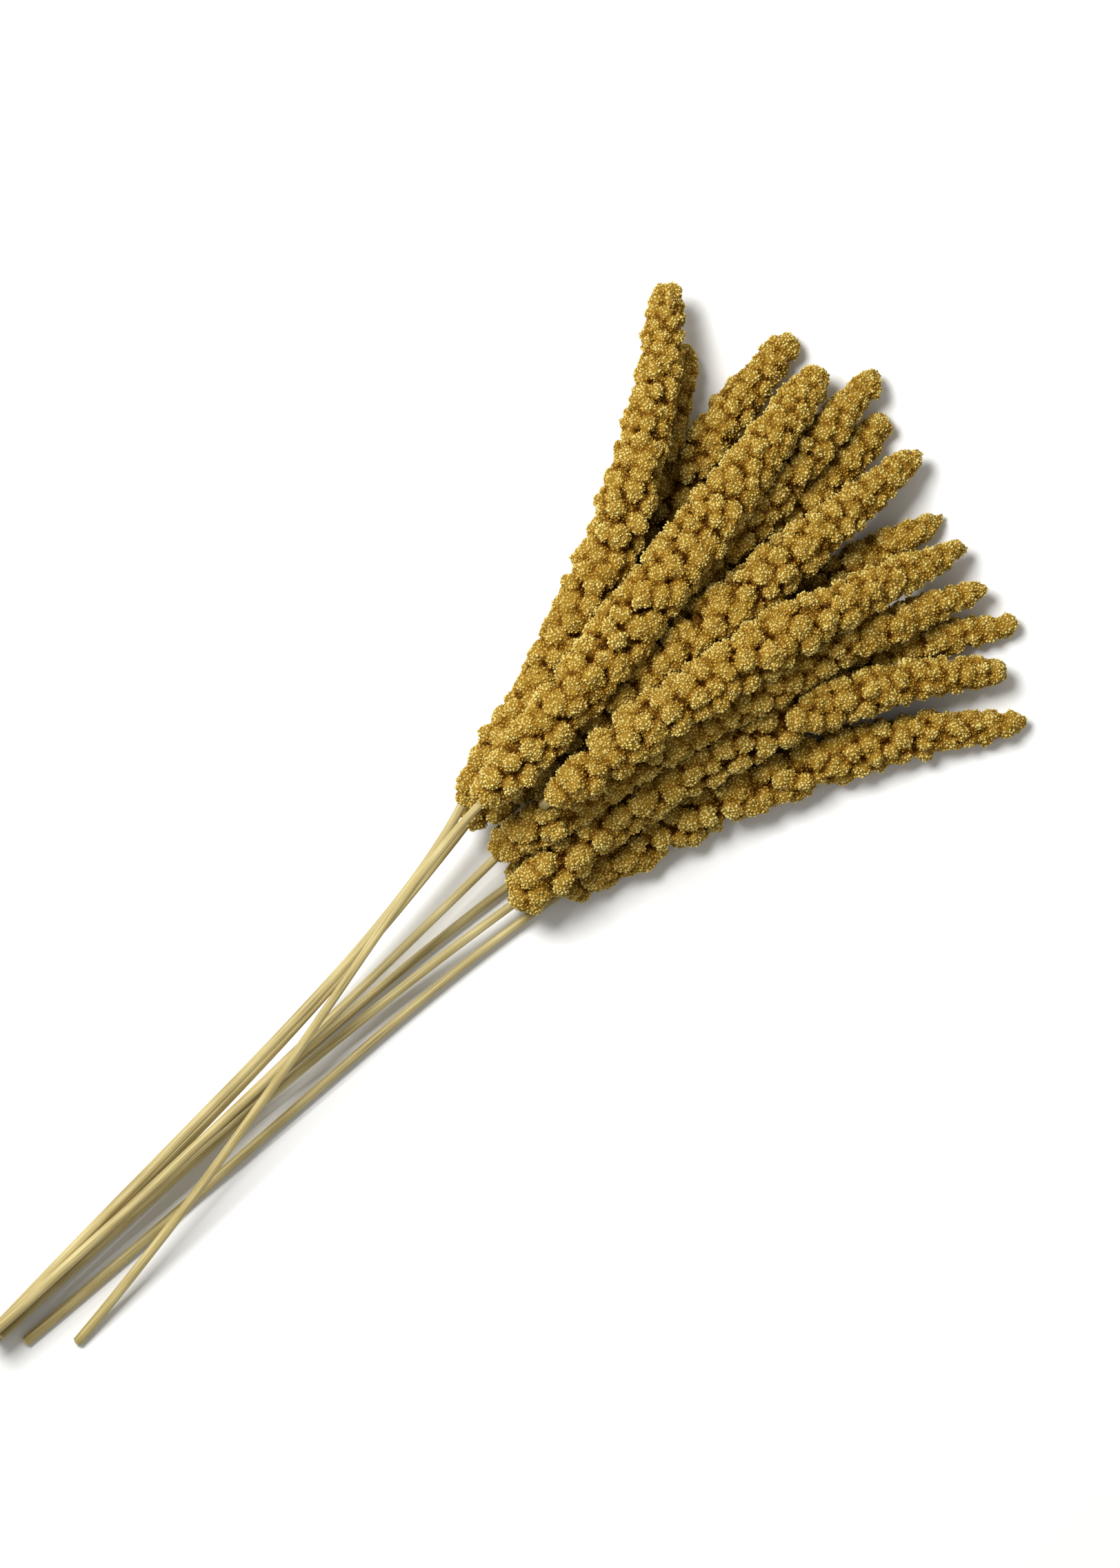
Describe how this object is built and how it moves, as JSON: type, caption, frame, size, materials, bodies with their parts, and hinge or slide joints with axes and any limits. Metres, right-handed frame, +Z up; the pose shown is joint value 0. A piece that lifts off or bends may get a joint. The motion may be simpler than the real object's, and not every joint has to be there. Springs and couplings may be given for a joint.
{
  "type": "millet spray",
  "caption": "Loose bunch of dried golden foxtail millet heads on long straw stems, lying flat and fanned out at the tips.",
  "frame": {"origin": "on the surface that the bunch lies on, under the middle of its bounding box", "axes": "+X along the bunch from the cut stem ends to the tips of the heads, +Y to its left seen from above, +Z up from the surface"},
  "size_m": [0.5702, 0.2472, 0.0783],
  "materials": {
    "millet_head": "dry granular seed clusters, matt, golden ochre with dark brown gaps",
    "straw_stem": "dry straw, fine lengthwise fibres, slightly waxy sheen"
  },
  "bodies": {
    "root": {"head_01": "millet_head", "head_02": "millet_head", "head_03": "millet_head", "head_04": "millet_head", "head_05": "millet_head", "head_06": "millet_head", "head_07": "millet_head", "head_08": "millet_head", "head_09": "millet_head", "head_10": "millet_head", "head_11": "millet_head", "head_12": "millet_head", "head_13": "millet_head", "stem_01": "straw_stem", "stem_02": "straw_stem", "stem_03": "straw_stem", "stem_04": "straw_stem", "stem_05": "straw_stem", "stem_06": "straw_stem", "stem_07": "straw_stem", "stem_08": "straw_stem", "stem_09": "straw_stem", "stem_10": "straw_stem", "stem_11": "straw_stem", "stem_12": "straw_stem", "stem_13": "straw_stem"}
  },
  "joints": []
}
